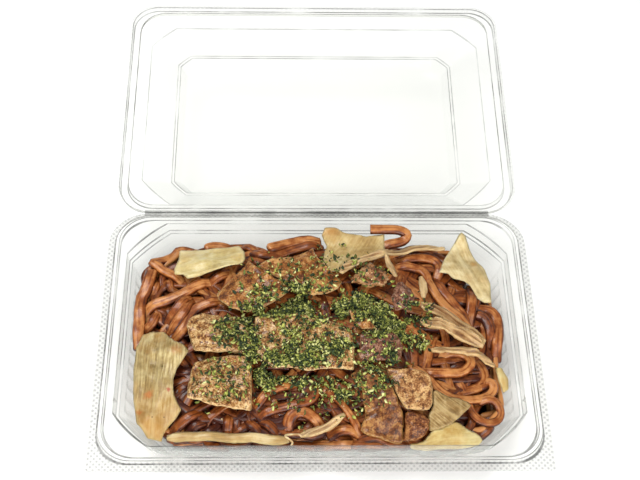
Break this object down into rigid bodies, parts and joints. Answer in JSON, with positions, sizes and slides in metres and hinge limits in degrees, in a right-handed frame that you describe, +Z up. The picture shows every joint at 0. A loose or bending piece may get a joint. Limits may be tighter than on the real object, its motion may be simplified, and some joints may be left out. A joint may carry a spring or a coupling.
{
  "type": "noodle dish in a hinged pack",
  "caption": "Yaki udon with pork, cabbage, sprouts and green laver flakes in an open, clear hinged food pack.",
  "frame": {"origin": "centre of the tray's underside", "axes": "+Z up, +Y from the tray's front edge to the hinge and the open lid, +X to the right seen from the front"},
  "size_m": [0.2, 0.2719, 0.0354],
  "materials": {
    "clear_sheet": "clear, glossy, thin formed sheet",
    "fried_noodle": "oily glaze",
    "soft_cabbage": "wet, slightly see-through",
    "fried_pork": "grainy, a little oily",
    "bean_sprout": "wet"
  },
  "bodies": {
    "tray": {"tray": "clear_sheet", "cabbage_front_left": "soft_cabbage", "cabbage_front_right": "soft_cabbage", "cabbage_front_strip": "soft_cabbage", "cabbage_front_yellow": "soft_cabbage", "cabbage_rear_left": "soft_cabbage", "cabbage_rear_middle": "soft_cabbage", "cabbage_rear_right": "soft_cabbage", "cabbage_rib_front": "bean_sprout", "cabbage_rib_lower": "bean_sprout", "cabbage_rib_upper": "bean_sprout", "cabbage_right_edge": "soft_cabbage", "noodle_heap": "fried_noodle", "noodle_hook": "fried_noodle", "pork_front_dark": "fried_pork", "pork_front_left": "fried_pork", "pork_front_right": "fried_pork", "pork_front_fold": "fried_pork", "pork_left": "fried_pork", "pork_middle": "fried_pork", "pork_middle_right": "fried_pork", "pork_middle_small": "fried_pork", "pork_rear_left": "fried_pork", "pork_rear_lump": "fried_pork", "pork_rear_right": "fried_pork", "pork_right_lump": "fried_pork", "sprout_front": "bean_sprout", "sprout_rear": "bean_sprout", "sprout_right": "bean_sprout", "sprout_short": "bean_sprout"},
    "lid": {"lid": "clear_sheet"}
  },
  "joints": [
    {"name": "lid_hinge", "type": "hinge", "parent": "tray", "child": "lid", "pos_m": [0, 0.0685, 0.02615], "axis": [1, 0, 0], "range_deg": [0, 176]}
  ]
}
